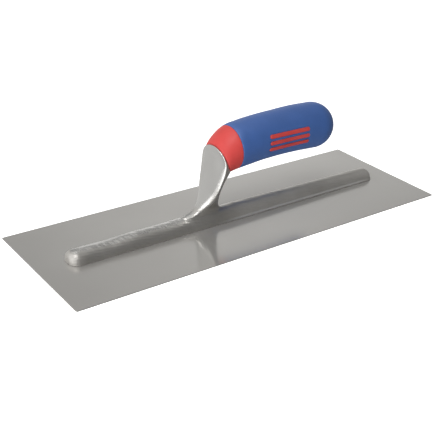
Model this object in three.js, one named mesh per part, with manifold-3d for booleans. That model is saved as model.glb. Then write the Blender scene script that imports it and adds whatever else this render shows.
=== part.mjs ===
// A steel finishing trowel. A thin rectangular blade is riveted to an aluminium mounting, which is
// one casting: a long rib on the blade, a neck that rises from it and a head that cups the handle.
// The handle is a red moulded core in a blue grip sleeve, held to the head by one long bolt.
//
// Millimetres, +Z up. The origin is the centre of the blade's underside. +X runs along the blade,
// towards the tail of the handle. Everything is symmetric about the plane y = 0.
import * as THREE from "three";
import { mergeVertices } from "three/addons/utils/BufferGeometryUtils.js";
import Module from "manifold-3d";

// Blade
const BLADE_LENGTH = 330.2;
const BLADE_WIDTH = 114.3;
const BLADE_THICKNESS = 0.7;
const BLADE_CORNER_RADIUS = 0.8;

// Rivets: countersunk heads flush with the underside, blind shanks in the rib
const RIVET_COUNT = 11;
const RIVET_PITCH = 27;
const RIVET_SHANK_RADIUS = 2.2;
const RIVET_HEAD_RADIUS = 3.3;
const RIVET_HEAD_RIM = 0.1;
const RIVET_NECK_DROP = 0.05;
const RIVET_TOP = 5.2;
const RIVET_CLEARANCE = 0.15;

// Rib of the mounting: a low foot with upright sides, and a crown on it that narrows to a soft ridge
const RIB_LEFT = -142.4;
const RIB_RIGHT = 145.2;
const RIB_FOOT_HALF_WIDTH = 8.8;
const RIB_FOOT_HEIGHT = 1.2;
const RIB_CROWN_HALF_WIDTH = 8.4;
const RIB_CROWN_FULLNESS = 1.4;
const RIB_END_LENGTH = 7.8;
const RIB_END_SPREAD = 0.992;
const RIB_END_STEPS = 5;
const RIB_MIDDLE_STEPS = 14;
const RIB_CROWN_STEPS = 12;
const RIB_CROWN = [
  { x: -140, z: 9.2 },
  { x: -60, z: 9.8 },
  { x: -20, z: 11.2 },
  { x: 20, z: 11 },
  { x: 60, z: 10.1 },
  { x: 100, z: 9.3 },
  { x: 140, z: 8.8 },
];

// Neck and head of the mounting, cut level at each height: front and back x, half-width, and how
// square the corners beside the front face are
const NECK = [
  { z: 8.6, front: -60, back: -10.5, half: 3.6, square: 2.4 },
  { z: 10.2, front: -47, back: -12.8, half: 4.4, square: 2.4 },
  { z: 12, front: -39, back: -14.4, half: 5.3, square: 2.4 },
  { z: 16, front: -33.8, back: -15.3, half: 6.8, square: 2.5 },
  { z: 20, front: -30.5, back: -15.8, half: 9.4, square: 2.6 },
  { z: 24, front: -28.4, back: -16.3, half: 11.4, square: 2.7 },
  { z: 28, front: -26.8, back: -17, half: 12.7, square: 2.9 },
  { z: 32, front: -25.6, back: -16.3, half: 13.6, square: 3.2 },
  { z: 36, front: -24.5, back: -14.6, half: 14.4, square: 3.6 },
  { z: 40, front: -23.5, back: -11.4, half: 15.2, square: 4.1 },
  { z: 44, front: -22.6, back: -8.8, half: 15.8, square: 4.7 },
  { z: 48, front: -21.6, back: -10.5, half: 16, square: 5.3 },
  { z: 52, front: -20.8, back: -14.8, half: 15.5, square: 6 },
  { z: 55.5, front: -20.7, back: -18, half: 13.9, square: 6 },
  { z: 58.5, front: -21.2, back: -19, half: 11.6, square: 6 },
  { z: 60.8, front: -21.6, back: -19.4, half: 8, square: 6 },
  { z: 62, front: -21.8, back: -19.6, half: 4.4, square: 6 },
];
const NECK_BACK_SQUARE = 2.5;
const NECK_TAPER_PER_DEPTH = 0.04;
const NECK_MOST_TAPER = 0.45;
const NECK_TAPER_CURVE = 1.5;

// Seat between head and handle: a round hollow with its axis across the trowel
const SEAT_AXIS_X = 14.5;
const SEAT_AXIS_Z = 66.5;
const SEAT_RADIUS = 35;
const SEAT_TOP_ANGLE = 0.85 * Math.PI;
const SEAT_LOW_ANGLE = 1.4 * Math.PI;

// Handle: round at every x, with the height of its middle and its radius
const HANDLE = [
  { x: -21.5, z: 50.5, r: 12.2 },
  { x: -17.6, z: 53, r: 14.5 },
  { x: -12, z: 56.2, r: 16.1 },
  { x: -6, z: 58.4, r: 17.1 },
  { x: 4, z: 59.8, r: 17.45 },
  { x: 20, z: 61.2, r: 17.5 },
  { x: 38, z: 61.8, r: 17.6 },
  { x: 54, z: 61.9, r: 17.95 },
  { x: 73, z: 61.1, r: 18.15 },
];
const HANDLE_TIP = 91.7;
const SLEEVE_THICKNESS = 2.5;
const SLEEVE_EDGE = -5.7;
const SLEEVE_EDGE_TILT = 3.4;
const FIT_GAP = 0.3;

// Raised bars of the core that fill windows in the sleeve, three on each side
const BAR_ROWS = 3;
const BAR_LENGTH = 38;
const BAR_HEIGHT = 3;
const BAR_PITCH = 5;
const BAR_MIDDLE_X = 38;
const BAR_MIDDLE_Z = 61.8;
const BAR_ROOT_Y = 8;
const BAR_OUT_Y = 28;

// Bolt line: from the tip of the handle forward and slightly down into the head
const BOLT_TILT = 4;
const BOLT_RADIUS = 3;
const BOLT_TURN_Z = 61.3;
const BOLT_TIP_DEPTH = 108;
const BOLT_HEAD_RADIUS = 5.6;
const BOLT_HEAD_HEIGHT = 4;
const BOLT_SOCKET_DEPTH = 2.5;
const WASHER_RADIUS = 6.2;
const WASHER_THICKNESS = 1.2;
const SPRING_WASHER_RADIUS = 5.4;
const SPRING_WASHER_THICKNESS = 1.6;
const SPRING_WASHER_SLOT = 1;
const COUNTERBORE_RADIUS = 6.6;
const COUNTERBORE_DEPTH = 16;
const PLUG_RADIUS = 6.2;
const PLUG_DEPTH = 5;
const PLUG_DOME = 1.2;
const PLUG_DOME_STEPS = 4;

// Spigot of the head: a square boss in a square socket of the core, so the handle can't turn
const SPIGOT_WIDTH = 10;
const SPIGOT_START_DEPTH = 111.8;
const SPIGOT_END_DEPTH = 98;

// Roundness of the facets
const RING_POINTS = 28;
const BODY_STEPS = 14;
const BODY_STEP_CROWDING = 1.4;
const CAP_STEPS = 6;
const CAP_SWEEP = 0.48 * Math.PI;
const SEAT_STEPS = 24;
const CORNER_STEPS = 4;
const RIVET_SIDES = 24;
const BOLT_SIDES = 20;
const HEX_SIDES = 6;

// How far a cutting tool reaches past the face that it cuts, and past the whole handle
const OVERCUT = 1;
const ROOM = 50;

const wasm = await Module();
wasm.setup();

// A closed geometry as a manifold-3d solid.
function toSolid(geometry) {
  const bare = geometry.clone();
  for (const name of Object.keys(bare.attributes)) {
    if (name !== "position") bare.deleteAttribute(name);
  }
  const merged = mergeVertices(bare, 1e-4);
  const mesh = new wasm.Mesh({
    numProp: 3,
    vertProperties: merged.attributes.position.array,
    triVerts: new Uint32Array(merged.index.array),
  });
  return new wasm.Manifold(mesh);
}

function toGeometry(solid) {
  const mesh = solid.getMesh();
  const geometry = new THREE.BufferGeometry();
  geometry.setAttribute("position", new THREE.BufferAttribute(mesh.vertProperties, 3));
  geometry.setIndex(new THREE.BufferAttribute(mesh.triVerts, 1));
  geometry.computeVertexNormals();
  return geometry;
}

function join(first, ...others) {
  return toGeometry(others.reduce((solid, other) => solid.add(toSolid(other)), toSolid(first)));
}

function cut(first, ...tools) {
  return toGeometry(tools.reduce((solid, tool) => solid.subtract(toSolid(tool)), toSolid(first)));
}

function common(first, second) {
  return toGeometry(toSolid(first).intersect(toSolid(second)));
}

// A closed solid through rings of equally many points, each ring counter-clockwise seen from the
// end of the loft.
function loft(rings) {
  const count = rings[0].length;
  const points = rings.flat();
  const index = [];
  for (let ring = 0; ring < rings.length - 1; ring++) {
    for (let i = 0; i < count; i++) {
      const a = ring * count + i;
      const b = ring * count + ((i + 1) % count);
      index.push(a, b, b + count, a, b + count, a + count);
    }
  }
  const last = (rings.length - 1) * count;
  for (const start of [0, last]) {
    const middle = new THREE.Vector3();
    for (let i = 0; i < count; i++) middle.addScaledVector(points[start + i], 1 / count);
    const centre = points.push(middle) - 1;
    for (let i = 0; i < count; i++) {
      const a = start + i;
      const b = start + ((i + 1) % count);
      index.push(...(start ? [a, b, centre] : [b, a, centre]));
    }
  }
  const geometry = new THREE.BufferGeometry().setFromPoints(points);
  geometry.setIndex(index);
  return geometry;
}

// A smooth function of one number through the named values of a list of stations.
function smooth(stations, from, to) {
  const curve = new THREE.CubicInterpolant(
    stations.map((station) => station[from]),
    stations.map((station) => station[to]),
    1,
  );
  return (value) => curve.evaluate(value)[0];
}

// A turned solid whose axis is +X, from a profile of [distance along X, radius] pairs.
function turned(profile, sides) {
  const points = profile.map(([along, radius]) => new THREE.Vector2(radius, along));
  return new THREE.LatheGeometry(points, sides).rotateZ(-Math.PI / 2);
}

function rodProfile(from, to, radius) {
  return [[from, 0], [from, radius], [to, radius], [to, 0]];
}

function rod(from, to, radius) {
  return turned(rodProfile(from, to, radius), BOLT_SIDES);
}

// Signed power, for superellipses.
function power(value, exponent) {
  return Math.sign(value) * Math.abs(value) ** exponent;
}

// A slot with round ends in the XY plane of its own shape.
function slotShape(length, height) {
  const reach = (length - height) / 2;
  const shape = new THREE.Shape();
  shape.absarc(reach, 0, height / 2, -Math.PI / 2, Math.PI / 2);
  shape.absarc(-reach, 0, height / 2, Math.PI / 2, (3 * Math.PI) / 2);
  shape.closePath();
  return shape;
}

function material(colour, roughness, metalness) {
  return new THREE.MeshStandardMaterial({ color: colour, roughness, metalness });
}

const trowel = new THREE.Group();

function addPiece(name, geometry, look, parent = trowel) {
  const mesh = new THREE.Mesh(geometry, look);
  mesh.name = name;
  parent.add(mesh);
}

// Blade and rivets

const rivetPlaces = Array.from(
  { length: RIVET_COUNT },
  (_, i) => (i - (RIVET_COUNT - 1) / 2) * RIVET_PITCH,
);

// A rivet standing on z = 0, or the room for one where grow is above zero.
function rivet(grow) {
  const bottom = grow ? -OVERCUT : 0;
  const top = RIVET_TOP + 2 * grow;
  const head = RIVET_HEAD_RADIUS + grow;
  const shank = RIVET_SHANK_RADIUS + grow;
  const profile = [
    [0, bottom],
    [head, bottom],
    [head, RIVET_HEAD_RIM],
    [shank, BLADE_THICKNESS - RIVET_NECK_DROP],
    [shank, top],
    [0, top],
  ];
  const points = profile.map(([radius, height]) => new THREE.Vector2(radius, height));
  return new THREE.LatheGeometry(points, RIVET_SIDES).rotateX(Math.PI / 2);
}

function rivetRooms() {
  return rivetPlaces.map((x) => rivet(RIVET_CLEARANCE).translate(x, 0, 0));
}

function bladeGeometry() {
  const x = BLADE_LENGTH / 2 - BLADE_CORNER_RADIUS;
  const y = BLADE_WIDTH / 2 - BLADE_CORNER_RADIUS;
  const outline = new THREE.Shape();
  const quarter = Math.PI / 2;
  outline.absarc(x, y, BLADE_CORNER_RADIUS, 0, quarter);
  outline.absarc(-x, y, BLADE_CORNER_RADIUS, quarter, 2 * quarter);
  outline.absarc(-x, -y, BLADE_CORNER_RADIUS, 2 * quarter, 3 * quarter);
  outline.absarc(x, -y, BLADE_CORNER_RADIUS, 3 * quarter, 4 * quarter);
  const plate = new THREE.ExtrudeGeometry(outline, {
    depth: BLADE_THICKNESS,
    bevelEnabled: false,
    curveSegments: CORNER_STEPS,
  });
  return cut(plate, ...rivetRooms());
}

// Mounting

const crownHeight = smooth(RIB_CROWN, "x", "z");

// Cross-section of the rib at x, with its foot on the blade.
function ribRing(x, widthShare, heightShare) {
  const foot = RIB_FOOT_HALF_WIDTH * widthShare;
  const half = RIB_CROWN_HALF_WIDTH * widthShare;
  const footTop = BLADE_THICKNESS + RIB_FOOT_HEIGHT * heightShare;
  const stationX = THREE.MathUtils.clamp(x, RIB_CROWN[0].x, RIB_CROWN.at(-1).x);
  const rise = (crownHeight(stationX) - footTop) * heightShare;
  const ring = [
    new THREE.Vector3(x, -foot, footTop),
    new THREE.Vector3(x, -foot, BLADE_THICKNESS),
    new THREE.Vector3(x, foot, BLADE_THICKNESS),
    new THREE.Vector3(x, foot, footTop),
  ];
  for (let i = 0; i <= RIB_CROWN_STEPS; i++) {
    const angle = (Math.PI * i) / RIB_CROWN_STEPS;
    const up = Math.max(Math.sin(angle), 0) ** (2 / RIB_CROWN_FULLNESS);
    ring.push(new THREE.Vector3(x, half * Math.cos(angle), footTop + rise * up));
  }
  return ring;
}

function ribGeometry() {
  const rings = [];
  const left = RIB_LEFT + RIB_END_LENGTH;
  const right = RIB_RIGHT - RIB_END_LENGTH;
  const endRing = (base, side, step) => {
    const along = RIB_END_SPREAD * Math.sin((Math.PI * step) / (2 * RIB_END_STEPS));
    const width = Math.sqrt(1 - along ** 2);
    const height = Math.cbrt(1 - along ** 3);
    return ribRing(base + side * RIB_END_LENGTH * along, width, height);
  };
  for (let step = RIB_END_STEPS; step > 0; step--) {
    rings.push(endRing(left, -1, step));
  }
  for (let step = 0; step <= RIB_MIDDLE_STEPS; step++) {
    rings.push(ribRing(THREE.MathUtils.lerp(left, right, step / RIB_MIDDLE_STEPS), 1, 1));
  }
  for (let step = 1; step <= RIB_END_STEPS; step++) {
    rings.push(endRing(right, 1, step));
  }
  return loft(rings);
}

// Level section of the neck: a superellipse whose front and back halves differ, narrower at the back.
function neckRing({ z, front, back, half, square }) {
  const depth = back - front;
  const taper = Math.min(NECK_TAPER_PER_DEPTH * depth, NECK_MOST_TAPER);
  const ring = [];
  for (let i = 0; i < RING_POINTS; i++) {
    const angle = (2 * Math.PI * i) / RING_POINTS;
    const exponent = 2 / (Math.cos(angle) > 0 ? NECK_BACK_SQUARE : square);
    const along = power(Math.cos(angle), exponent);
    const across = power(Math.sin(angle), exponent);
    const narrowing = 1 - taper * ((along + 1) / 2) ** NECK_TAPER_CURVE;
    ring.push(new THREE.Vector3((front + back + along * depth) / 2, across * half * narrowing, z));
  }
  return ring;
}

// Everything behind the seat surface, moved back by a gap.
function behindSeat(gap) {
  const outline = new THREE.Shape();
  const high = SEAT_AXIS_Z + ROOM;
  const low = SEAT_AXIS_Z - ROOM;
  const middle = SEAT_AXIS_X + gap;
  outline.absarc(middle, SEAT_AXIS_Z, SEAT_RADIUS, SEAT_TOP_ANGLE, SEAT_LOW_ANGLE);
  outline.lineTo(HANDLE_TIP + ROOM, low);
  outline.lineTo(HANDLE_TIP + ROOM, high);
  outline.lineTo(middle + SEAT_RADIUS * Math.cos(SEAT_TOP_ANGLE), high);
  const depth = 2 * ROOM;
  const curveSegments = SEAT_STEPS;
  const prism = new THREE.ExtrudeGeometry(outline, { depth, bevelEnabled: false, curveSegments });
  return prism.rotateX(Math.PI / 2).translate(0, ROOM, 0);
}

// The frame of the bolt: its origin is at the tip of the handle, +X points out of the tip, and
// -X runs forward and slightly down into the head.
const boltLine = new THREE.Group();
boltLine.position.set(HANDLE_TIP, 0, BOLT_TURN_Z);
boltLine.rotation.y = THREE.MathUtils.degToRad(-BOLT_TILT);
boltLine.updateMatrix();
trowel.add(boltLine);

// A round cutting tool on the bolt line, in the trowel's own frame.
function boltLineRod(fromDepth, toDepth, radius) {
  return rod(-toDepth, -fromDepth, radius).applyMatrix4(boltLine.matrix);
}

function spigot(grow) {
  const length = SPIGOT_START_DEPTH - SPIGOT_END_DEPTH + grow;
  const width = SPIGOT_WIDTH + 2 * grow;
  return new THREE.BoxGeometry(length, width, width)
    .translate(length / 2 - SPIGOT_START_DEPTH, 0, 0)
    .applyMatrix4(boltLine.matrix);
}

function mountingGeometry() {
  const head = cut(loft(NECK.map(neckRing)), behindSeat(0));
  const whole = join(ribGeometry(), head, spigot(0));
  const boltHole = boltLineRod(SPIGOT_END_DEPTH - OVERCUT, BOLT_TIP_DEPTH + FIT_GAP, BOLT_RADIUS + FIT_GAP);
  return cut(whole, boltHole, ...rivetRooms());
}

// Handle

const handleHeight = smooth(HANDLE, "x", "z");
const handleRadius = smooth(HANDLE, "x", "r");

// The whole outer shape of the handle, or the same shape shrunk by an inset.
function handleForm(inset) {
  const rings = [];
  const addRing = (x, z, radius) => {
    const ring = [];
    for (let i = 0; i < RING_POINTS; i++) {
      const angle = (2 * Math.PI * i) / RING_POINTS;
      ring.push(new THREE.Vector3(x, radius * Math.cos(angle), z + radius * Math.sin(angle)));
    }
    rings.push(ring);
  };
  const front = HANDLE[0].x;
  const cap = HANDLE.at(-1);
  for (let step = 0; step < BODY_STEPS; step++) {
    const x = THREE.MathUtils.lerp(front, cap.x, (step / BODY_STEPS) ** BODY_STEP_CROWDING);
    addRing(x, handleHeight(x), handleRadius(x) - inset);
  }
  const capLength = HANDLE_TIP - cap.x - inset;
  for (let step = 0; step <= CAP_STEPS; step++) {
    const angle = (CAP_SWEEP * step) / CAP_STEPS;
    addRing(cap.x + capLength * Math.sin(angle), cap.z, (cap.r - inset) * Math.cos(angle));
  }
  return loft(rings);
}

// Everything behind the front edge of the sleeve (side 1), or everything ahead of it (side -1).
function besideSleeveEdge(side, gap) {
  const size = 3 * ROOM;
  return new THREE.BoxGeometry(size, size, size)
    .translate((side * size) / 2 + gap, 0, 0)
    .rotateY(THREE.MathUtils.degToRad(-SLEEVE_EDGE_TILT))
    .translate(SLEEVE_EDGE, 0, handleHeight(SLEEVE_EDGE));
}

// The raised bars on both sides of the handle, or their windows where grow is above zero.
function barPrisms(grow) {
  const depth = BAR_OUT_Y - BAR_ROOT_Y;
  const curveSegments = CORNER_STEPS;
  const prisms = [];
  for (const side of [-1, 1]) {
    for (let row = 0; row < BAR_ROWS; row++) {
      const z = BAR_MIDDLE_Z + (row - (BAR_ROWS - 1) / 2) * BAR_PITCH;
      const shape = slotShape(BAR_LENGTH + 2 * grow, BAR_HEIGHT + 2 * grow);
      const prism = new THREE.ExtrudeGeometry(shape, { depth, bevelEnabled: false, curveSegments });
      const outerY = side > 0 ? BAR_OUT_Y : -BAR_ROOT_Y;
      prisms.push(prism.rotateX(Math.PI / 2).translate(BAR_MIDDLE_X, outerY, z));
    }
  }
  return prisms;
}

// The bore for the bolt's head, washers and plug, open at the tip of the handle.
function counterbore() {
  return boltLineRod(-OVERCUT, COUNTERBORE_DEPTH, COUNTERBORE_RADIUS);
}

function coreGeometry() {
  const nose = cut(handleForm(0), besideSleeveEdge(1, 0));
  const raised = common(handleForm(0), join(...barPrisms(0)));
  const whole = join(handleForm(SLEEVE_THICKNESS), nose, raised);
  const boltHole = boltLineRod(COUNTERBORE_DEPTH - OVERCUT, SPIGOT_START_DEPTH, BOLT_RADIUS + FIT_GAP);
  return cut(common(whole, behindSeat(FIT_GAP)), spigot(FIT_GAP), counterbore(), boltHole);
}

function sleeveGeometry() {
  const inside = handleForm(SLEEVE_THICKNESS - FIT_GAP);
  return cut(handleForm(0), inside, besideSleeveEdge(-1, FIT_GAP), counterbore(), ...barPrisms(FIT_GAP));
}

// Fixings, each made in the frame of the bolt line

const washerBack = -COUNTERBORE_DEPTH + WASHER_THICKNESS;
const headBase = washerBack + SPRING_WASHER_THICKNESS;
const headTop = headBase + BOLT_HEAD_HEIGHT;

// A cap head with a hexagon socket, on a plain shank.
function boltGeometry() {
  const head = rod(headBase, headTop, BOLT_HEAD_RADIUS);
  const shank = rod(-BOLT_TIP_DEPTH, headBase + OVERCUT, BOLT_RADIUS);
  const socketProfile = rodProfile(headTop - BOLT_SOCKET_DEPTH, headTop + OVERCUT, BOLT_HEAD_RADIUS / 2);
  return cut(join(head, shank), turned(socketProfile, HEX_SIDES));
}

// A flat ring round the bolt.
function ringGeometry(from, to, radius) {
  return cut(rod(from, to, radius), rod(from - OVERCUT, to + OVERCUT, BOLT_RADIUS + FIT_GAP));
}

// A square-section ring with one radial slot.
function springWasherGeometry() {
  const ring = ringGeometry(washerBack, headBase, SPRING_WASHER_RADIUS);
  const slotLength = 2 * SPRING_WASHER_RADIUS;
  const slot = new THREE.BoxGeometry(slotLength, SPRING_WASHER_SLOT, slotLength);
  return cut(ring, slot.translate(headBase, 0, SPRING_WASHER_RADIUS));
}

function plugGeometry() {
  const profile = [[-PLUG_DEPTH, 0], [-PLUG_DEPTH, PLUG_RADIUS]];
  for (let step = 0; step <= PLUG_DOME_STEPS; step++) {
    const angle = (Math.PI * step) / (2 * PLUG_DOME_STEPS);
    profile.push([PLUG_DOME * (Math.sin(angle) - 1), PLUG_RADIUS * Math.cos(angle)]);
  }
  return turned(profile, BOLT_SIDES);
}

const ground = material(0xb4b2ad, 0.25, 1);
const cast = material(0x8f8d88, 0.45, 1);
const red = material(0xd0434a, 0.45, 0);
const blue = material(0x2f5597, 0.6, 0);
const zinc = material(0xb9bcc0, 0.35, 1);

addPiece("blade", bladeGeometry(), ground);
addPiece("mounting", mountingGeometry(), cast);
rivetPlaces.forEach((x, i) => addPiece(`rivet_${i + 1}`, rivet(0).translate(x, 0, 0), ground));
addPiece("handle_core", coreGeometry(), red);
addPiece("grip_sleeve", sleeveGeometry(), blue);
addPiece("handle_bolt", boltGeometry(), zinc, boltLine);
addPiece("flat_washer", ringGeometry(-COUNTERBORE_DEPTH, washerBack, WASHER_RADIUS), zinc, boltLine);
addPiece("spring_washer", springWasherGeometry(), zinc, boltLine);
addPiece("end_plug", plugGeometry(), blue, boltLine);

export default trowel;
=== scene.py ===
"""A steel finishing trowel in a plain studio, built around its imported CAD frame.

The blade, the rivets and the hidden fixings are the CAD nodes themselves with better materials.
The casting and the moulded handle get fine meshes of their own. Shapes are worked out in
millimetres, in the row frame, and scaled to metres when a mesh is made.
"""

import math

import bpy
import numpy as np
from mathutils import Euler, Matrix, Vector


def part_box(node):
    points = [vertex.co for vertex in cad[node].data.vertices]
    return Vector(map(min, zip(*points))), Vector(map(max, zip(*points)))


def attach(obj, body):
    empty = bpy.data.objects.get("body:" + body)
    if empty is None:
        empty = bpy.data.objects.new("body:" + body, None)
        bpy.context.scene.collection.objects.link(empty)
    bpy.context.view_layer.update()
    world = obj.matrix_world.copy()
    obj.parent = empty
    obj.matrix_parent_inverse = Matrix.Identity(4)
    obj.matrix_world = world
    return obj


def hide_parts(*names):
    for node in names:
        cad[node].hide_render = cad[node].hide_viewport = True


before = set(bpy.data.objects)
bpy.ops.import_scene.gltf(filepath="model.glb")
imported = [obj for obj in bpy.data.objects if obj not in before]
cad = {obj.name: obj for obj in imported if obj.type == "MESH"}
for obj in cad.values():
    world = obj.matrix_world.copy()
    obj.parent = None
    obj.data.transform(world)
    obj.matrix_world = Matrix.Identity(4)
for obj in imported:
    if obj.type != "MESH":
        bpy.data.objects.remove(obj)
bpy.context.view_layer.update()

MM = 0.001

# ---------------------------------------------------------------------------------------------
# Driving dimensions in millimetres. They follow the CAD's, but the crown is wavy here, the neck has
# slightly other cuts at its foot and its head, and the sleeve's wall is a little thinner
# ---------------------------------------------------------------------------------------------

BLADE_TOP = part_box("blade")[1].z / MM

# Rib: foot with upright sides, crown set in from its edge
RIB_LEFT = -142.4
RIB_RIGHT = 145.2
RIB_END = 7.8
RIB_END_ROUNDNESS = 2.4
FOOT_HALF = 8.8
FOOT_TOP = 1.9
CROWN_INSET = {"x": (-145, -30, 10, 145), "inset": (0.1, 0.2, 0.75, 0.65)}
CROWN = {
    "x": (-140, -128, -110, -90, -70, -50, -34, -20, 20, 60, 100, 140),
    "z": (9.2, 9.3, 8.7, 9.5, 9.3, 9.7, 10.5, 11.1, 11, 10.1, 9.3, 8.8),
}
CROWN_FULLNESS = 1.4
CROWN_END_FULLNESS = 2.1
CROWN_END_BLEND = -0.4
FOOT_EDGE_REACH = 0.5
CROWN_FOOT_REACH = 0.15

# Neck, cut level at each height: front and back x, half-width, and how square its front corners are
NECK = {
    "z": (10.2, 12, 16, 20, 24, 28, 32, 36, 40, 44, 48, 50, 55, 62),
    "front": (
        -44, -38.6, -33.8, -30.5, -28.4, -26.8, -25.6,
        -24.5, -23.5, -22.6, -21.6, -21.1, -20.6, -21.8,
    ),
    "back": (
        -14, -15, -15.3, -15.8, -16.3, -17, -16.3,
        -14.6, -11.4, -8.8, -10.5, -12.6, -17.8, -19.6,
    ),
    "half": (4.4, 5.3, 6.8, 9.4, 11.4, 12.7, 13.6, 14.4, 15.2, 15.8, 16, 15.9, 15.5, 15.3),
    "roundness": (2.4, 2.4, 2.5, 2.6, 2.7, 2.9, 3.2, 3.6, 4.1, 4.7, 5.3, 5.6, 6, 6),
}
NECK_BACK_ROUNDNESS = 2.5
NECK_TAPER_PER_DEPTH = 0.04
NECK_MOST_TAPER = 0.45
NECK_TAPER_CURVE = 1.5
HEAD_MIDDLE = 50
HEAD_RISE = 12.5
FILLET = 4.0

# Waves on the casting's skin: the length and lean of each, and how deep they are together. They
# come in just above the foot, and most of their depth is gone on the neck
WAVES = ((2.3, 0.2), (3.7, 0.9), (5.3, 0.45), (7.9, 1.2), (13.1, 0.3), (2.9, 1.4))
WAVE_DEPTH = 0.15
WAVE_RISE = 1.5
WAVE_LOSS_ON_NECK = 0.85
WAVE_LOSS_HEIGHTS = (11, 15)

# Seat: a round hollow between head and handle, its axis across the trowel
SEAT_AXIS = (14.5, 66.5)
SEAT_RADIUS = 35
SEAT_EDGE_REACH = 0.3
SEAT_GAP = 0.06

# Handle: round at every x, then a round cap
HANDLE = {
    "x": (-21.5, -17.6, -12, -6, 4, 20, 38, 54, 73),
    "z": (50.5, 53, 56.2, 58.4, 59.8, 61.2, 61.8, 61.9, 61.1),
    "r": (12.2, 14.5, 16.1, 17.1, 17.45, 17.5, 17.6, 17.95, 18.15),
}
HANDLE_TIP = 91.7
CAP_START = 73
SLEEVE_EDGE = -5.7
SLEEVE_EDGE_TILT = math.radians(3.4)
SLEEVE_THICKNESS = 2.3
SLEEVE_GAP = 0.1
BARS = {"middle_x": 38, "middle_z": 61.8, "length": 38, "height": 3, "pitch": 5, "rows": 3}
BAR_SEAT_DEPTH = 0.5
BAR_SEAT_EDGE = 0.4

# Bolt line: from the tip of the handle forward and slightly down. The free end of the spigot is
# at SPIGOT_DEPTH along it
BOLT_TILT = math.radians(4)
BOLT_TIP_Z = 61.3
SPIGOT_HALF = 5
SPIGOT_DEPTH = 98
SPIGOT_LENGTH = 12
SOCKET_GAP = 0.3
SOCKET_END_GAP = 0.5
COUNTERBORE_RADIUS = 6.6
COUNTERBORE_DEPTH = 16


# ---------------------------------------------------------------------------------------------
# Small tools
# ---------------------------------------------------------------------------------------------

def smooth_through(places, values):
    """A smooth function of one number that passes through the values at the places."""
    places, values = np.array(places, float), np.array(values, float)
    slopes = np.gradient(values, places)

    def curve(x):
        x = np.clip(x, places[0], places[-1])
        i = np.clip(np.searchsorted(places, x, side="right") - 1, 0, len(places) - 2)
        span = places[i + 1] - places[i]
        t = (x - places[i]) / span
        ends = values[i] * (1 + 2 * t) * (1 - t) ** 2 + values[i + 1] * t * t * (3 - 2 * t)
        bends = span * (slopes[i] * t * (1 - t) ** 2 - slopes[i + 1] * t * t * (1 - t))
        return ends + bends

    return curve


def smooth_step(low, high, value):
    """0 at low, 1 at high, with level ends."""
    t = np.clip((value - low) / (high - low), 0, 1)
    return t * t * (3 - 2 * t)


def smooth_union(a, b, reach):
    """The lower of two fields, blended where they are closer than reach."""
    share = np.clip(0.5 + 0.5 * (b - a) / reach, 0, 1)
    return b + (a - b) * share - reach * share * (1 - share)


def smooth_cut(a, b, reach):
    """The higher of two fields, blended the same way."""
    return -smooth_union(-a, -b, reach)


def add_mesh(name, points_mm, faces):
    """A new smooth-shaded object from points in millimetres in the row frame."""
    mesh = bpy.data.meshes.new(name)
    mesh.from_pydata((np.asarray(points_mm) * MM).tolist(), [], [tuple(map(int, f)) for f in faces])
    mesh.validate()
    mesh.update()
    mesh.polygons.foreach_set("use_smooth", [True] * len(mesh.polygons))
    piece = bpy.data.objects.new(name, mesh)
    bpy.context.scene.collection.objects.link(piece)
    return piece


def grid_faces(rows, columns, first=0):
    """Quads between rows of points that each close on themselves."""
    row, column = np.meshgrid(np.arange(rows - 1), np.arange(columns), indexing="ij")
    a = first + row * columns + column
    b = first + row * columns + (column + 1) % columns
    return np.stack([a, b, b + columns, a + columns], -1).reshape(-1, 4).tolist()


def closed_loft(name, rows):
    """A closed piece through rows of points of shape (rows, columns, 3); each end closes on its middle."""
    rows = np.asarray(rows, float)
    count, columns = rows.shape[:2]
    points = rows.reshape(-1, 3)
    points = np.vstack([points, rows[0].mean(0), rows[-1].mean(0)])
    start, end = count * columns, count * columns + 1
    last = (count - 1) * columns
    faces = grid_faces(count, columns)
    for column in range(columns):
        following = (column + 1) % columns
        faces.append([start, following, column])
        faces.append([end, last + column, last + following])
    return add_mesh(name, points, faces)


def add_values(piece, name, values):
    """A named number on each point, for a material to read."""
    attribute = piece.data.attributes.new(name, "FLOAT", "POINT")
    attribute.data.foreach_set("value", values.astype(np.float32))


def wear(piece, body, node):
    """Rides on the body and stands in for the CAD node, which it hides."""
    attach(piece, body)
    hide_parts(node)


# ---------------------------------------------------------------------------------------------
# Casting: rib, neck and head as one surface
# ---------------------------------------------------------------------------------------------

crown_height = smooth_through(CROWN["x"], CROWN["z"])
crown_inset = smooth_through(CROWN_INSET["x"], CROWN_INSET["inset"])
neck_front = smooth_through(NECK["z"], NECK["front"])
neck_back = smooth_through(NECK["z"], NECK["back"])
neck_half = smooth_through(NECK["z"], NECK["half"])
neck_roundness = smooth_through(NECK["z"], NECK["roundness"])


def rib_field(x, y, z):
    """Below zero inside the rib, and about the distance from it in millimetres."""
    past_end = np.maximum(np.maximum(RIB_LEFT + RIB_END - x, x - RIB_RIGHT + RIB_END), 0) / RIB_END
    power = RIB_END_ROUNDNESS
    foot = (past_end ** power + np.abs(y / FOOT_HALF) ** power) ** (1 / power) - 1
    foot = smooth_cut(foot * FOOT_HALF, z - FOOT_TOP, FOOT_EDGE_REACH)
    crown_half = FOOT_HALF - crown_inset(x)
    rise = np.maximum(z - FOOT_TOP, 0) / (crown_height(x) - FOOT_TOP)
    fuller = smooth_step(CROWN_END_BLEND, 1, past_end)
    fullness = CROWN_FULLNESS + (CROWN_END_FULLNESS - CROWN_FULLNESS) * fuller
    across = np.sqrt((y / crown_half) ** 2 + rise ** fullness)
    past_crown = past_end * FOOT_HALF / crown_half
    crown = ((past_crown ** power + across ** power) ** (1 / power) - 1) * crown_half
    return smooth_union(foot, crown, CROWN_FOOT_REACH)


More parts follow.
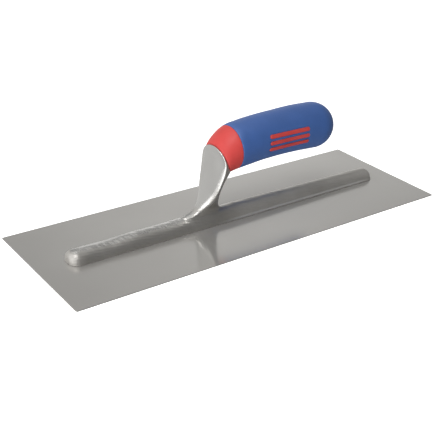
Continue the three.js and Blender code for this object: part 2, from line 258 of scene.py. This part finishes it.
def neck_field(x, y, z):
    """The same for the neck and the head, before the seat is cut."""
    front, back, half = neck_front(z), neck_back(z), neck_half(z)
    depth = back - front
    along = (2 * x - front - back) / depth
    taper = np.minimum(NECK_TAPER_PER_DEPTH * depth, NECK_MOST_TAPER)
    width = half * (1 - taper * np.clip((along + 1) / 2, 0, 1) ** NECK_TAPER_CURVE)
    across = np.hypot(y / width, np.maximum(z - HEAD_MIDDLE, 0) / HEAD_RISE)
    roundness = np.where(along > 0, NECK_BACK_ROUNDNESS, neck_roundness(z))
    u, v = np.abs(along) ** roundness, across ** roundness
    total = np.maximum(u + v, 1e-9)
    scale = (u * depth / 2 + v * width) / total
    return (total ** (1 / roundness) - 1) * scale


def spigot_field(x, y, z):
    """The square boss on the seat that stops the handle from turning."""
    lean_x, lean_z = x - HANDLE_TIP, z - BOLT_TIP_Z
    along = lean_x * math.cos(BOLT_TILT) + lean_z * math.sin(BOLT_TILT)
    up = lean_z * math.cos(BOLT_TILT) - lean_x * math.sin(BOLT_TILT)
    side = np.maximum(np.abs(y), np.abs(up)) - SPIGOT_HALF
    ends = np.maximum(along + SPIGOT_DEPTH, -along - SPIGOT_DEPTH - SPIGOT_LENGTH)
    return np.maximum(side, ends)


def waviness(x, y, z):
    """An uneven number about -1 to 1 over space, for the hand-dressed skin of the casting.

    The fixed factors have no measure behind them. They keep the waves from lining up.
    """
    total = 0
    for turn, (length, lean) in enumerate(WAVES):
        along = math.cos(lean) * x + math.sin(lean) * (0.8 * y + 1.3 * z)
        cross = math.cos(2.3 * turn) * y + math.sin(2.3 * turn) * z
        drift = 2.1 * np.sin(cross / 2.1 + turn) + 2.6 * np.sin(x / (4.3 + 3.1 * turn) + 1.9 * turn)
        total = total + np.sin(2 * math.pi * along / length + drift + 2.4 * turn)
    return total / len(WAVES)


def casting_field(x, y, z):
    """Below zero inside the whole casting."""
    seat = SEAT_RADIUS - np.hypot(x - SEAT_AXIS[0], z - SEAT_AXIS[1])
    head = smooth_cut(neck_field(x, y, z), seat, SEAT_EDGE_REACH)
    body = smooth_union(rib_field(x, y, z), head, FILLET)
    kept = 1 - WAVE_LOSS_ON_NECK * smooth_step(*WAVE_LOSS_HEIGHTS, z)
    depth = WAVE_DEPTH * kept * smooth_step(FOOT_TOP, FOOT_TOP + WAVE_RISE, z)
    body = body + depth * waviness(x, y, z)
    body = np.minimum(body, spigot_field(x, y, z))
    return np.maximum(body, BLADE_TOP - z)


def surface_net(field, low, high, steps, near):
    """The points and quads of the surface where the field is zero.

    near says at which points of the grid the field is worked out. The others count as outside.
    """
    axes = [np.arange(a, b + step, step) for a, b, step in zip(low, high, steps)]
    x, y, z = np.meshgrid(*axes, indexing="ij")
    value = np.ones(x.shape)
    mask = near(x, y, z)
    value[mask] = field(x[mask], y[mask], z[mask])
    inside = value < 0
    cells = tuple(size - 1 for size in value.shape)
    total = np.zeros(cells + (3,))
    count = np.zeros(cells)
    for axis in range(3):
        others = [a for a in range(3) if a != axis]
        for first in (0, 1):
            for second in (0, 1):
                start, end = [0, 0, 0], [0, 0, 0]
                start[others[0]] = end[others[0]] = first
                start[others[1]] = end[others[1]] = second
                end[axis] = 1
                at_start = tuple(slice(s, s + c) for s, c in zip(start, cells))
                at_end = tuple(slice(s, s + c) for s, c in zip(end, cells))
                crosses = inside[at_start] != inside[at_end]
                a, b = value[at_start], value[at_end]
                share = np.where(crosses, a / np.where(crosses, a - b, 1), 0)
                for k in range(3):
                    offset = share if k == axis else start[k]
                    total[..., k] += np.where(crosses, offset, 0)
                count += crosses
    used = count > 0
    number = np.full(cells, -1)
    number[used] = np.arange(used.sum())
    corner = np.stack(np.nonzero(used), -1)
    points = np.array(low) + (corner + total[used] / count[used][:, None]) * np.array(steps)
    faces = []
    for axis in range(3):
        b, c = (axis + 1) % 3, (axis + 2) % 3
        lower = [slice(1, -1)] * 3
        upper = [slice(1, -1)] * 3
        lower[axis], upper[axis] = slice(0, -1), slice(1, None)
        flips = inside[tuple(lower)] != inside[tuple(upper)]
        place = np.stack(np.nonzero(flips), -1)
        place[:, b] += 1
        place[:, c] += 1
        ring = []
        for db, dc in ((1, 1), (0, 1), (0, 0), (1, 0)):
            cell = place.copy()
            cell[:, b] -= db
            cell[:, c] -= dc
            ring.append(number[tuple(cell.T)])
        quads = np.stack(ring, -1)
        outward = inside[tuple(lower)][flips]
        quads[~outward] = quads[~outward][:, ::-1]
        faces.append(quads)
    return points, np.vstack(faces)


def slope_of(field, points, step=0.02):
    """The gradient of the field at the points."""
    slope = np.zeros_like(points)
    for k in range(3):
        shift = np.zeros(3)
        shift[k] = step
        slope[:, k] = (field(*(points + shift).T) - field(*(points - shift).T)) / (2 * step)
    return slope


def settle(field, points, rounds=4, reach=0.35):
    """Moves points onto the surface where the field is zero."""
    for _ in range(rounds):
        slope = slope_of(field, points)
        move = field(*points.T)[:, None] * slope / np.maximum((slope ** 2).sum(1), 1e-6)[:, None]
        length = np.linalg.norm(move, axis=1)[:, None]
        points = points - move * np.minimum(1, reach / np.maximum(length, 1e-9))
    return points


def polish_and_highlight_of(x, z, normal):
    """How polished the casting is at its points, from 0 to 1. On the crown's upward faces, most towards
    the left, the same value also lays on a painted highlight.
    """
    faces_front = smooth_step(0.35, -0.25, normal[:, 0])
    neck = smooth_step(11, 17, z) * (0.45 + 0.55 * faces_front)
    faces_up = smooth_step(0.82, 0.94, normal[:, 2])
    near_top = smooth_step(2.3, 1.1, crown_height(x) - z)
    toward_left = smooth_step(20, -30, x)
    # Painted highlight: the upward faces near the crown's top, strongest towards the left, get the lighter
    # dressed colour
    ridge_highlight = faces_up * near_top * (0.35 + 0.65 * toward_left)
    left_half = 0.65 * smooth_step(10, -20, x) * smooth_step(-140, -128, x)
    return np.clip(np.max((neck, ridge_highlight, left_half), axis=0), 0, 1)


def rim_highlight_of(x, z):
    """1 on the painted highlight line along the foot's upper edge on the rib's right half, 0 away from it.
    """
    line_height = FOOT_TOP + 0.3
    on_line = smooth_step(0.9, 0.3, np.abs(z - line_height))
    return on_line * smooth_step(-28, 4, x) * smooth_step(142, 128, x)


def make_casting():
    """The casting's skin, with how polished it is (which also carries the painted highlight on the crown's
    top) and its painted highlight line along the rim as values on its points.
    """
    steps = (0.7, 0.34, 0.34)
    margin = 1.5
    half_width = 16.5
    rib_top, rib_half = 16, 11
    neck_left, neck_right = -64, 8
    low = (RIB_LEFT - margin, -half_width, BLADE_TOP - 0.5 * steps[2])
    high = (RIB_RIGHT + margin, half_width, HEAD_MIDDLE + HEAD_RISE + margin)

    def near(x, y, z):
        by_rib = (z < rib_top) & (np.abs(y) < rib_half)
        by_neck = (x > neck_left) & (x < neck_right)
        return by_rib | by_neck

    points, faces = surface_net(casting_field, low, high, steps, near)
    points = settle(casting_field, points)
    casting = add_mesh("casting", points, faces)
    x, _, z = points.T
    normal = slope_of(casting_field, points)
    normal /= np.maximum(np.linalg.norm(normal, axis=1), 1e-6)[:, None]
    add_values(casting, "polish_and_highlight", polish_and_highlight_of(x, z, normal))
    add_values(casting, "rim", rim_highlight_of(x, z))
    return casting


casting = make_casting()
wear(casting, "root", "mounting")


# ---------------------------------------------------------------------------------------------
# Handle: red core, blue sleeve, raised bars and the plug at the tip
# ---------------------------------------------------------------------------------------------

handle_height = smooth_through(HANDLE["x"], HANDLE["z"])
handle_body_radius = smooth_through(HANDLE["x"], HANDLE["r"])
CAP_LENGTH = HANDLE_TIP - CAP_START


def handle_radius(x):
    """The handle's outer radius at x, cap included."""
    share = np.clip((x - CAP_START) / CAP_LENGTH, 0, 1)
    return handle_body_radius(x) * np.sqrt(1 - share ** 2)


def around(count):
    """Angles evenly round a circle."""
    return np.arange(count) * 2 * math.pi / count


def ring(x, radius, angle, middle=None):
    """Points at x, at the given radius about the handle's middle line."""
    middle = handle_height(x) if middle is None else middle
    x, radius, angle, middle = np.broadcast_arrays(x, radius, angle, middle)
    return np.stack([x, radius * np.cos(angle), middle + radius * np.sin(angle)], -1)


def sleeve_edge_x(angle, gap=0.0):
    """Where the tilted front edge of the sleeve lies at each angle round the handle."""
    return SLEEVE_EDGE + gap - math.tan(SLEEVE_EDGE_TILT) * handle_body_radius(SLEEVE_EDGE) * np.sin(angle)


def cap_places(first_radius_share, last_radius_share, count):
    """x values down the round cap, even in angle, between two shares of its radius."""
    angles = np.linspace(math.acos(first_radius_share), math.acos(last_radius_share), count)
    return CAP_START + CAP_LENGTH * np.sin(angles)


def bar_heights():
    """The height of the middle of each row of bars."""
    rows = BARS["rows"]
    return [BARS["middle_z"] + (row - (rows - 1) / 2) * BARS["pitch"] for row in range(rows)]


def bar_distance(x, z):
    """How far a place on the side of the handle is outside the nearest bar's outline."""
    reach = (BARS["length"] - BARS["height"]) / 2
    beyond = np.maximum(np.abs(x - BARS["middle_x"]) - reach, 0)
    return np.min([np.hypot(beyond, z - height) for height in bar_heights()], axis=0) - BARS["height"] / 2


def make_sleeve():
    """The blue grip: a shell with a rounded front lip, sunken seats for the bars, and an open tip."""
    angle = around(256)
    front = sleeve_edge_x(angle, SLEEVE_GAP)
    lip = 0.45
    inside_from, inside_to = 80, 2
    rows = []
    for x in np.linspace(inside_from, inside_to, 9):
        rows.append(ring(x, handle_radius(x) - SLEEVE_THICKNESS, angle))
    rows.append(ring(front, handle_radius(front) - SLEEVE_THICKNESS, angle))
    for turn in np.linspace(0, math.pi / 2, 6):
        x = front + lip * (1 - math.cos(turn))
        rows.append(ring(x, handle_radius(x) - lip * (1 - math.sin(turn)), angle))
    first_outer = len(rows)
    for share in np.linspace(0, 1, 170)[1:]:
        x = front + lip + share * (CAP_START - front - lip)
        rows.append(ring(x, handle_radius(x), angle))
    last_outer = len(rows)
    rim_round, rim_swell, bore_length = 0.5, 0.15, 6
    rim_radius = COUNTERBORE_RADIUS + rim_round
    tip_height = handle_height(CAP_START)
    for x in cap_places(1, rim_radius / handle_body_radius(CAP_START), 40)[1:]:
        rows.append(ring(x, handle_radius(x), angle))
    rim_x = rows[-1][0, 0]
    for turn in np.linspace(0, math.pi / 2, 5)[1:]:
        x = rim_x + rim_swell * math.sin(2 * turn) - rim_round * (1 - math.cos(turn))
        rows.append(ring(x, rim_radius - rim_round * math.sin(turn), angle, tip_height))
    rows.append(ring(rim_x - bore_length, COUNTERBORE_RADIUS, angle, tip_height))
    rows = np.array(rows)
    sink_bar_seats(rows[first_outer:last_outer])
    count, columns = rows.shape[:2]
    faces = grid_faces(count, columns)
    last = (count - 1) * columns
    for column in range(columns):
        following = (column + 1) % columns
        faces.append([last + column, last + following, following, column])
    return add_mesh("grip", rows.reshape(-1, 3), faces)


def sink_bar_seats(skin):
    """Sinks the places of the skin where the bars sit, on both sides of the handle."""
    side_from = 8
    middle = np.stack([skin[..., 0], 0 * skin[..., 0], handle_height(skin[..., 0])], -1)
    outward = skin - middle
    outward /= np.linalg.norm(outward, axis=-1, keepdims=True)
    on_side = np.abs(skin[..., 1]) > side_from
    in_seat = smooth_step(BAR_SEAT_EDGE, 0.0, bar_distance(skin[..., 0], skin[..., 2]))
    skin -= outward * (BAR_SEAT_DEPTH * on_side * in_seat)[..., None]


def on_bolt_line(depth, across, up):
    """A place at a depth in from the tip, along the tilted line of the bolt."""
    x = HANDLE_TIP - depth * math.cos(BOLT_TILT) - up * math.sin(BOLT_TILT)
    z = BOLT_TIP_Z - depth * math.sin(BOLT_TILT) + up * math.cos(BOLT_TILT)
    return np.stack(np.broadcast_arrays(x, across, z), -1)


def square_ring(depth, half, angle):
    """A square about the bolt line, one point for each angle."""
    size = half / np.maximum(np.abs(np.cos(angle)), np.abs(np.sin(angle)))
    return on_bolt_line(depth, size * np.cos(angle), size * np.sin(angle))


def seat_x(z, gap=0.0):
    """x of the seat surface at a height."""
    return SEAT_AXIS[0] + gap - np.sqrt(SEAT_RADIUS ** 2 - (z - SEAT_AXIS[1]) ** 2)


def nose_start(angle):
    """x where the nose's skin meets the seat, at each angle round the handle."""
    low, high = np.full(angle.shape, HANDLE["x"][0]), np.full(angle.shape, SLEEVE_EDGE)
    halvings = 40
    for _ in range(halvings):
        x = (low + high) / 2
        z = handle_height(x) + handle_body_radius(x) * np.sin(angle)
        behind = x > seat_x(z, SEAT_GAP)
        high = np.where(behind, x, high)
        low = np.where(behind, low, x)
    return high


def make_core():
    """The red core: socket, nose with a rounded rim, shoulder, the body under the grip, counterbore."""
    angle = around(192)
    start, edge = nose_start(angle), sleeve_edge_x(angle, -SLEEVE_GAP)
    rim = ring(start, handle_radius(start), angle)
    socket = SPIGOT_HALF + SOCKET_GAP
    rows = [square_ring(SPIGOT_DEPTH - SOCKET_END_GAP, socket, angle)]
    mouth = square_ring(SPIGOT_DEPTH + SPIGOT_LENGTH, socket, angle)
    mouth[:, 0] = seat_x(mouth[:, 2], SEAT_GAP)
    rows.append(mouth)
    for share in (0.35, 0.7, 0.97):
        level = mouth + (rim - mouth) * share
        level[:, 0] = seat_x(level[:, 2], SEAT_GAP)
        rows.append(level)
    rim_step, lip = 0.15, 0.4
    for share in np.linspace(0, 1, 40):
        x = start + rim_step + share * (edge - lip - start - rim_step)
        rows.append(ring(x, handle_radius(x), angle))
    for turn in np.linspace(0, math.pi / 2, 6)[1:]:
        x = edge - lip * (1 - math.sin(turn))
        rows.append(ring(x, handle_radius(x) - lip * (1 - math.cos(turn)), angle))
    under = SLEEVE_THICKNESS + SLEEVE_GAP
    body_end, end_depth, end_share = 78, 4, 0.9
    for x in np.linspace(0, body_end, 14):
        place = np.maximum(x, edge) if x > 0 else edge
        rows.append(ring(place, handle_radius(place) - under, angle))
    tail = HANDLE_TIP - end_depth
    rows.append(ring(tail, end_share * handle_radius(tail), angle))
    across, up = COUNTERBORE_RADIUS * np.cos(angle), COUNTERBORE_RADIUS * np.sin(angle)
    for depth in (end_depth, COUNTERBORE_DEPTH):
        rows.append(on_bolt_line(depth, across, up))
    return closed_loft("core", rows)


def make_bar(name, side, height):
    """One raised bar on one side: a slot-shaped pad that follows the handle's skin."""
    gap, root, proud, edge = 0.05, -1.0, 0.22, 0.35
    radius = BARS["height"] / 2 - gap
    reach = (BARS["length"] - BARS["height"]) / 2
    turns = np.linspace(-math.pi / 2, math.pi / 2, 17)
    straight = np.linspace(-1, 1, 41)[1:-1]
    end = np.ones(len(turns))
    quarter = np.full(len(straight), math.pi / 2)
    outline_x = np.concatenate([end, -straight, -end, straight]) * reach
    direction = np.concatenate([turns, quarter, turns + math.pi, -quarter])

    def level(size, lift):
        x = BARS["middle_x"] + outline_x + size * np.cos(direction)
        z = height + size * np.sin(direction)
        radial = handle_radius(x) + lift
        y = side * np.sqrt(np.maximum(radial ** 2 - (z - handle_height(x)) ** 2, 0))
        return np.stack([x, y, z], -1)

    rows = [level(radius, root)]
    for turn in np.linspace(0, math.pi / 2, 6):
        rows.append(level(radius - edge * (1 - math.cos(turn)), proud - edge * (1 - math.sin(turn))))
    rows += [level((radius - edge) * share, proud) for share in (0.6, 0.25, 0.05)]
    if side > 0:
        rows = [row[::-1] for row in rows]
    return closed_loft(name, rows)


def make_plug():
    """The plug in the tip: a low dome with a rounded edge and a shallow ring."""
    angle = around(96)
    gap, set_in, length, edge, edge_round, rise = 0.12, 0.35, 5, 1.6, 0.5, 0.9
    radius = COUNTERBORE_RADIUS - gap
    dome = HANDLE_TIP - set_in
    profile = [(dome - length, radius), (dome - edge, radius)]
    for turn in np.linspace(0, math.pi / 2, 6)[1:]:
        x = dome - edge + edge_round * math.sin(turn)
        profile.append((x, radius - edge_round * (1 - math.cos(turn))))
    shallow_ring = ((0.86, 0.78), (0.74, 0.58), (0.62, 0.42), (0.59, 0.6), (0.55, 0.6), (0.52, 0.34))
    for share, drop in shallow_ring:
        profile.append((dome - drop, radius * share))
    for share in (0.4, 0.25, 0.1):
        profile.append((dome - rise * share ** 2, radius * share))
    tip_height = handle_height(CAP_START)
    return closed_loft("plug", [ring(x, r, angle, tip_height) for x, r in profile])


sleeve = make_sleeve()
wear(sleeve, "root", "grip_sleeve")
core = make_core()
wear(core, "root", "handle_core")
plug = make_plug()
wear(plug, "root", "end_plug")
bars = []
for side_name, side in (("near", -1), ("far", 1)):
    for row, height in enumerate(bar_heights()):
        bar = make_bar(f"bar_{side_name}_{row + 1}", side, height)
        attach(bar, "root")
        bars.append(bar)


# ---------------------------------------------------------------------------------------------
# Materials
# ---------------------------------------------------------------------------------------------

def new_material(name, **sockets):
    """A Principled material with the given sockets set, and what is needed to add nodes to it."""
    material = bpy.data.materials.new(name)
    material.use_nodes = True
    nodes, links = material.node_tree.nodes, material.node_tree.links
    shader = nodes["Principled BSDF"]
    for socket, value in sockets.items():
        shader.inputs[socket.replace("_", " ")].default_value = value
    return material, nodes, links, shader


def noise(nodes, links, scale, stretch=(1, 1, 1), detail=3, roughness=0.5):
    """A noise over the piece's own space, scale in features per metre along each axis."""
    where = nodes.new("ShaderNodeTexCoord")
    mapping = nodes.new("ShaderNodeMapping")
    mapping.inputs["Scale"].default_value = stretch
    texture = nodes.new("ShaderNodeTexNoise")
    texture.inputs["Scale"].default_value = scale
    texture.inputs["Detail"].default_value = detail
    texture.inputs["Roughness"].default_value = roughness
    links.new(where.outputs["Object"], mapping.inputs["Vector"])
    links.new(mapping.outputs["Vector"], texture.inputs["Vector"])
    return texture.outputs["Fac"]


def spread(nodes, links, value, low, high, start=0.3, end=0.7):
    """Maps a noise's usual range onto low to high."""
    remap = nodes.new("ShaderNodeMapRange")
    for socket, number in (("From Min", start), ("From Max", end), ("To Min", low), ("To Max", high)):
        remap.inputs[socket].default_value = number
    links.new(value, remap.inputs["Value"])
    return remap.outputs["Result"]


def tint(nodes, links, value, first, second):
    """Mixes the first into the second by a 0 to 1 value. Each is a colour or the output of a node."""
    mix = nodes.new("ShaderNodeMix")
    mix.data_type = "RGBA"
    for socket, colour in (("A", first), ("B", second)):
        if isinstance(colour, tuple):
            mix.inputs[socket].default_value = (*colour, 1)
        else:
            links.new(colour, mix.inputs[socket])
    links.new(value, mix.inputs["Factor"])
    return mix.outputs["Result"]


def point_value(nodes, name):
    """The number that a piece's points hold under the name."""
    attribute = nodes.new("ShaderNodeAttribute")
    attribute.attribute_name = name
    return attribute.outputs["Fac"]


def bump(nodes, links, shader, height, distance_mm, strength, under=None):
    """Bumps from a height on the shader, over the bumps under it if there are any."""
    node = nodes.new("ShaderNodeBump")
    node.inputs["Distance"].default_value = distance_mm * MM
    node.inputs["Strength"].default_value = strength
    links.new(height, node.inputs["Height"])
    if under:
        links.new(under, node.inputs["Normal"])
    links.new(node.outputs["Normal"], shader.inputs["Normal"])
    return node.outputs["Normal"]


def ground_steel(name, dark, light, smoothest, roughest):
    """Steel ground lengthwise: fine lines along X, and faint clouds in its colour."""
    material, nodes, links, shader = new_material(name, Metallic=0.6)
    cloud = spread(nodes, links, noise(nodes, links, 14, (0.6, 1, 1), 2), 0, 1)
    links.new(tint(nodes, links, cloud, dark, light), shader.inputs["Base Color"])
    grind = noise(nodes, links, 2600, (0.02, 1, 1), 3, 0.6)
    links.new(spread(nodes, links, grind, smoothest, roughest), shader.inputs["Roughness"])
    shader.inputs["Anisotropic"].default_value = 0.6
    across = nodes.new("ShaderNodeTangent")
    across.direction_type = "RADIAL"
    across.axis = "X"
    links.new(across.outputs["Tangent"], shader.inputs["Tangent"])
    return material


def cast_metal():
    """Cast aluminium: a dull skin on the rib, and a lighter dressed finish where it is polished. On the
    crown's top, mostly on the left, that lighter colour is a painted highlight.
    """
    material, nodes, links, shader = new_material("cast_metal")
    polish_and_highlight = point_value(nodes, "polish_and_highlight")
    skin = noise(nodes, links, 260, detail=4, roughness=0.55)
    grain = noise(nodes, links, 1500, detail=2)
    cloud = spread(nodes, links, noise(nodes, links, 60, detail=4), 0, 1)
    dull = tint(nodes, links, cloud, (0.49, 0.475, 0.45), (0.56, 0.545, 0.52))
    # The lighter colour is the polished finish, and on the crown's top it is also a painted highlight
    dressed = tint(nodes, links, cloud, (0.58, 0.575, 0.56), (0.64, 0.635, 0.62))
    colour = tint(nodes, links, spread(nodes, links, polish_and_highlight, 0, 1, 0.6, 1), dull, dressed)
    # Painted highlight: a pale line along the foot's upper edge on the rib's right half
    rim_highlighted = tint(nodes, links, point_value(nodes, "rim"), colour, (0.66, 0.655, 0.64))
    links.new(rim_highlighted, shader.inputs["Base Color"])
    links.new(spread(nodes, links, polish_and_highlight, 0.7, 0.94, 0, 0.8), shader.inputs["Metallic"])
    links.new(spread(nodes, links, polish_and_highlight, 0.52, 0.26, 0, 1), shader.inputs["Roughness"])
    depth = nodes.new("ShaderNodeMath")
    depth.operation = "MULTIPLY"
    links.new(skin, depth.inputs[0])
    links.new(spread(nodes, links, polish_and_highlight, 1, 0.12, 0, 1), depth.inputs[1])
    first = bump(nodes, links, shader, depth.outputs["Value"], 0.35, 0.4)
    bump(nodes, links, shader, grain, 0.03, 0.3, under=first)
    return material


def red_plastic():
    """Hard red plastic with a fine moulded grain."""
    material, nodes, links, shader = new_material("red_plastic", Specular_IOR_Level=0.28)
    cloud = spread(nodes, links, noise(nodes, links, 80), 0, 1)
    colour = tint(nodes, links, cloud, (0.585, 0.060, 0.055), (0.635, 0.072, 0.067))
    links.new(colour, shader.inputs["Base Color"])
    grain = noise(nodes, links, 3500, detail=2)
    links.new(spread(nodes, links, grain, 0.38, 0.5), shader.inputs["Roughness"])
    bump(nodes, links, shader, grain, 0.02, 0.5)
    return material


def blue_rubber():
    """Soft blue rubber with a slightly coarser grain."""
    material, nodes, links, shader = new_material("blue_rubber", Specular_IOR_Level=0.8)
    cloud = spread(nodes, links, noise(nodes, links, 70), 0, 1)
    colour = tint(nodes, links, cloud, (0.038, 0.108, 0.335), (0.044, 0.122, 0.377))
    links.new(colour, shader.inputs["Base Color"])
    grain = noise(nodes, links, 2600, detail=2)
    links.new(spread(nodes, links, grain, 0.45, 0.6), shader.inputs["Roughness"])
    bump(nodes, links, shader, grain, 0.04, 0.6)
    return material


def zinc_plate():
    """Zinc plating on the hidden bolt and its washers, a little uneven."""
    material, nodes, links, shader = new_material("zinc_plate", Metallic=1.0)
    cloud = spread(nodes, links, noise(nodes, links, 400), 0, 1)
    links.new(tint(nodes, links, cloud, (0.5, 0.5, 0.5), (0.6, 0.61, 0.62)), shader.inputs["Base Color"])
    links.new(spread(nodes, links, noise(nodes, links, 900), 0.22, 0.4), shader.inputs["Roughness"])
    return material


def dress(pieces, material):
    """Gives the pieces the material in place of what they had."""
    for piece in pieces:
        piece.data.materials.clear()
        piece.data.materials.append(material)


blade_steel = ground_steel("blade_steel", (0.49, 0.48, 0.46), (0.53, 0.522, 0.50), 0.13, 0.17)
rivet_steel = ground_steel("rivet_steel", (0.33, 0.325, 0.31), (0.38, 0.37, 0.355), 0.2, 0.3)
dress([cad["blade"]], blade_steel)
dress([cad[name] for name in cad if name.startswith("rivet_")], rivet_steel)
dress([casting], cast_metal())
dress([core] + bars, red_plastic())
dress([sleeve, plug], blue_rubber())
dress([cad["handle_bolt"], cad["flat_washer"], cad["spring_washer"]], zinc_plate())


# ---------------------------------------------------------------------------------------------
# Studio: floor, soft light, camera
# ---------------------------------------------------------------------------------------------

def make_floor():
    """A pale table that sweeps up into a wall all round and glows. Only the camera sees it."""
    columns = 96
    flat_radius, curve_radius, wall_top, drop = 2000, 1400, 3000, 0.05
    angle = around(columns)
    sweep = [(radius, 0) for radius in (1, 1200, flat_radius)]
    for turn in np.linspace(0, math.pi / 2, 17)[1:]:
        radius = flat_radius + curve_radius * math.sin(turn)
        sweep.append((radius, curve_radius * (1 - math.cos(turn))))
    sweep.append((flat_radius + curve_radius, wall_top))
    rows = []
    for radius, z in sweep:
        height = np.full(columns, z - drop)
        rows.append(np.stack([radius * np.cos(angle), radius * np.sin(angle), height], -1))
    middle = list(range(columns - 1, -1, -1))
    faces = grid_faces(len(rows), columns) + [middle]
    floor = add_mesh("floor", np.array(rows).reshape(-1, 3), faces)
    material, _, _, shader = new_material("pale_floor", Roughness=0.9, Emission_Strength=0.75)
    shader.inputs["Base Color"].default_value = (0.93, 0.93, 0.93, 1)
    shader.inputs["Emission Color"].default_value = (1, 1, 1, 1)
    shader.inputs["Specular IOR Level"].default_value = 0.1
    floor.data.materials.append(material)
    floor.visible_glossy = False
    floor.visible_diffuse = False
    floor.visible_shadow = False


def toward(azimuth, elevation):
    """The unit direction at an azimuth from +Y towards +X and an elevation, in degrees."""
    a, e = math.radians(azimuth), math.radians(elevation)
    return Vector((math.sin(a) * math.cos(e), math.cos(a) * math.cos(e), math.sin(e)))


def softbox(name, direction, distance, width, height, brightness):
    """A rectangular light that faces the object. Brightness is its power over pi and its area."""
    light = bpy.data.lights.new(name, "AREA")
    light.shape = "RECTANGLE"
    light.size, light.size_y = width, height
    light.energy = brightness * math.pi * width * height
    lamp = bpy.data.objects.new(name, light)
    bpy.context.scene.collection.objects.link(lamp)
    lamp.location = direction * distance
    lamp.rotation_euler = (-direction).to_track_quat("-Z", "Y").to_euler()


def make_world(base, glows):
    """Soft surroundings: an even base, plus glows of (direction, half-angle in degrees, strength).

    A glow fades out towards its half-angle. One with a strength below zero darkens.
    """
    world = bpy.data.worlds.new("studio")
    bpy.context.scene.world = world
    world.use_nodes = True
    nodes, links = world.node_tree.nodes, world.node_tree.links
    where = nodes.new("ShaderNodeTexCoord").outputs["Generated"]
    total = None
    for direction, reach, strength in glows:
        dot = nodes.new("ShaderNodeVectorMath")
        dot.operation = "DOT_PRODUCT"
        dot.inputs[1].default_value = direction
        links.new(where, dot.inputs[0])
        glow = nodes.new("ShaderNodeMapRange")
        glow.interpolation_type = "SMOOTHSTEP"
        glow.inputs["From Min"].default_value = math.cos(math.radians(reach))
        glow.inputs["To Max"].default_value = strength
        links.new(dot.outputs["Value"], glow.inputs["Value"])
        add = nodes.new("ShaderNodeMath")
        add.inputs[1].default_value = base
        links.new(glow.outputs["Result"], add.inputs[0])
        if total:
            links.new(total, add.inputs[1])
        total = add.outputs["Value"]
    background = nodes["Background"]
    background.inputs["Color"].default_value = (1, 0.995, 0.98, 1)
    links.new(total, background.inputs["Strength"])


def make_camera():
    """The camera: to the left and in front, looking down a little."""
    lens = bpy.data.cameras.new("camera")
    lens.lens = 71.38
    lens.sensor_width = 36
    lens.clip_start = 0.01
    camera = bpy.data.objects.new("camera", lens)
    bpy.context.scene.collection.objects.link(camera)
    place = Vector((-371.25, -471.45, 300.69)) * MM
    elevation, azimuth, roll = 26.829, -37.161, 2.606
    turn = Euler((math.radians(90 - elevation), 0, math.radians(azimuth))).to_matrix()
    turn = turn @ Matrix.Rotation(math.radians(roll), 3, "Z")
    camera.matrix_world = Matrix.Translation(place) @ turn.to_4x4()
    bpy.context.scene.camera = camera


WORLD_BASE = 0.165
GLOWS = [
    (toward(0, 0), 114, 0.555),      # wide, from the far side
    (toward(39, 14), 25, 0.31),      # low at the far right
    (toward(14, 29), 26, -0.37),     # darker, higher and further left
    (toward(60, 37), 27, -0.34),     # darker, higher and further right
    (toward(72, 62), 36, 0.08),      # high at the right
    (toward(-40, 75), 42, 0.32),     # overhead
    (toward(-124, -36), 52, 2.45),   # from below, in front at the left
]

make_floor()
make_world(WORLD_BASE, GLOWS)
softbox("side", toward(-101, 18), 1.1, 1.4, 0.9, 1.7)
softbox("key", toward(-125, 66), 1.2, 0.5, 0.5, 7.2)
make_camera()
bpy.context.scene.view_settings.view_transform = "Standard"
